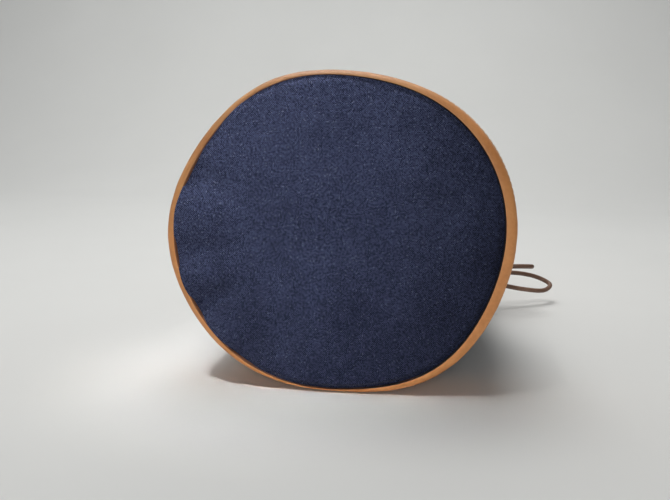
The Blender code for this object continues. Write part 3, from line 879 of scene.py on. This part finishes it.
# Drawstring, bow and tails.
tube("drawstring_cord", [drawstring_route()], CORD_RADIUS, LEATHER_CORD, ["drawstring"])
bow_wrap = tube("bow_wrap", [knot_route()], CORD_RADIUS, LEATHER_CORD, ["bow_knot"])
for name, points, far_end in (
    ("bow_loop_lower", LOWER_LOOP, "object"), ("bow_loop_upper", UPPER_LOOP, "object"),
    ("cord_tail_a", TAIL_A, "knot"), ("cord_tail_b", TAIL_B, "knot"),
):
    run = route_through(above_floor(points), 1.5)
    piece = tube(f"{name}_cord", [run], CORD_RADIUS, LEATHER_CORD, [name])
    extra = [bow_wrap] if name == "bow_loop_lower" else []
    if far_end == "knot":
        stopper = name.replace("cord_tail", "tail_knot")
        stopper_cord = [stopper_route(points)]
        extra = [tube(f"{stopper}_cord", stopper_cord, CORD_RADIUS, LEATHER_CORD, [stopper])]

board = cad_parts["base_board"]
board.data.materials.clear()
board.data.materials.append(BOARD)


# Studio: a pale sweep, a broad key in front and to the right, a soft lamp above, a narrow one grazing
# the cloth, and one on the backdrop.
SWEEP_REACH = 9.0
SWEEP_BACK = 1.0
SWEEP_BEND = 0.7
SWEEP_TOP = 2.4


def sweep():
    """Floor that bends up into a backdrop, as (along, height) points in metres carried across."""
    run = [(-SWEEP_REACH, 0.0), (-0.8, 0.0), (0.2, 0.0), (SWEEP_BACK, 0.0)]
    for turn in np.linspace(0.1, 0.5 * math.pi, 14):
        run.append((SWEEP_BACK + SWEEP_BEND * math.sin(turn), SWEEP_BEND - SWEEP_BEND * math.cos(turn)))
    run.append((SWEEP_BACK + SWEEP_BEND, SWEEP_TOP))
    mesh = bpy.data.meshes.new("studio_sweep")
    points = [(x, y, z - FLOOR * MM) for y, z in run for x in (-SWEEP_REACH, SWEEP_REACH)]
    faces = [(2 * i, 2 * i + 1, 2 * i + 3, 2 * i + 2) for i in range(len(run) - 1)]
    mesh.from_pydata(points, [], faces)
    mesh.shade_smooth()
    floor = bpy.data.objects.new("studio_sweep", mesh)
    bpy.context.scene.collection.objects.link(floor)
    mesh.materials.append(plain_material("studio_paper", (0.66, 0.665, 0.655), (0.69, 0.695, 0.685), 3.0))


def area_light(name, place, target, size, power, colour, spread=180):
    light = bpy.data.lights.new(name, "AREA")
    light.shape = "DISK"
    light.size = size
    light.energy = power
    light.color = colour
    light.spread = math.radians(spread)
    lamp = bpy.data.objects.new(name, light)
    lamp.location = place
    lamp.rotation_euler = (Vector(target) - Vector(place)).to_track_quat("-Z", "Y").to_euler()
    bpy.context.scene.collection.objects.link(lamp)


def studio():
    sweep()
    area_light("key", (0.22, -1.70, 0.40), (0.0, 0.0, 0.0), 0.70, 1.15, (1.0, 0.985, 0.96), 60)
    area_light("top", (-0.10, 0.22, 1.12), (0.0, 0.0, -0.1), 0.75, 8.9, (1.0, 0.99, 0.97))
    area_light("graze", (-0.20, -0.24, 0.80), (-0.055, 0.0, 0.04), 0.20, 0.085, (1.0, 0.99, 0.97), 15)
    area_light("backdrop", (-0.42, 1.10, 1.60), (-0.42, 1.70, 0.3), 1.8, 18.0, (1.0, 1.0, 0.99))
    world = bpy.data.worlds.new("studio_world")
    bpy.context.scene.world = world
    world.use_nodes = True
    world.node_tree.nodes["Background"].inputs["Color"].default_value = (0.9, 0.93, 0.95, 1.0)
    world.node_tree.nodes["Background"].inputs["Strength"].default_value = 0.12


def camera():
    lens = bpy.data.cameras.new("camera")
    lens.lens = CAMERA_LENS
    lens.sensor_width = 36.0
    lens.shift_x = -MIDDLE_OFFSET[0] / PICTURE_WIDTH
    lens.shift_y = -MIDDLE_OFFSET[1] / PICTURE_WIDTH
    lens.clip_start = 0.01
    view = bpy.data.objects.new("camera", lens)
    flat = math.cos(CAMERA_ELEVATION)
    across, along = math.sin(CAMERA_AZIMUTH) * flat, -math.cos(CAMERA_AZIMUTH) * flat
    away = Vector((across, along, math.sin(CAMERA_ELEVATION)))
    view.location = away * CAMERA_DISTANCE
    view.rotation_euler = (-away).to_track_quat("-Z", "Y").to_euler()
    bpy.context.scene.collection.objects.link(view)
    bpy.context.scene.camera = view


studio()
camera()
bpy.context.scene.view_settings.view_transform = "Standard"
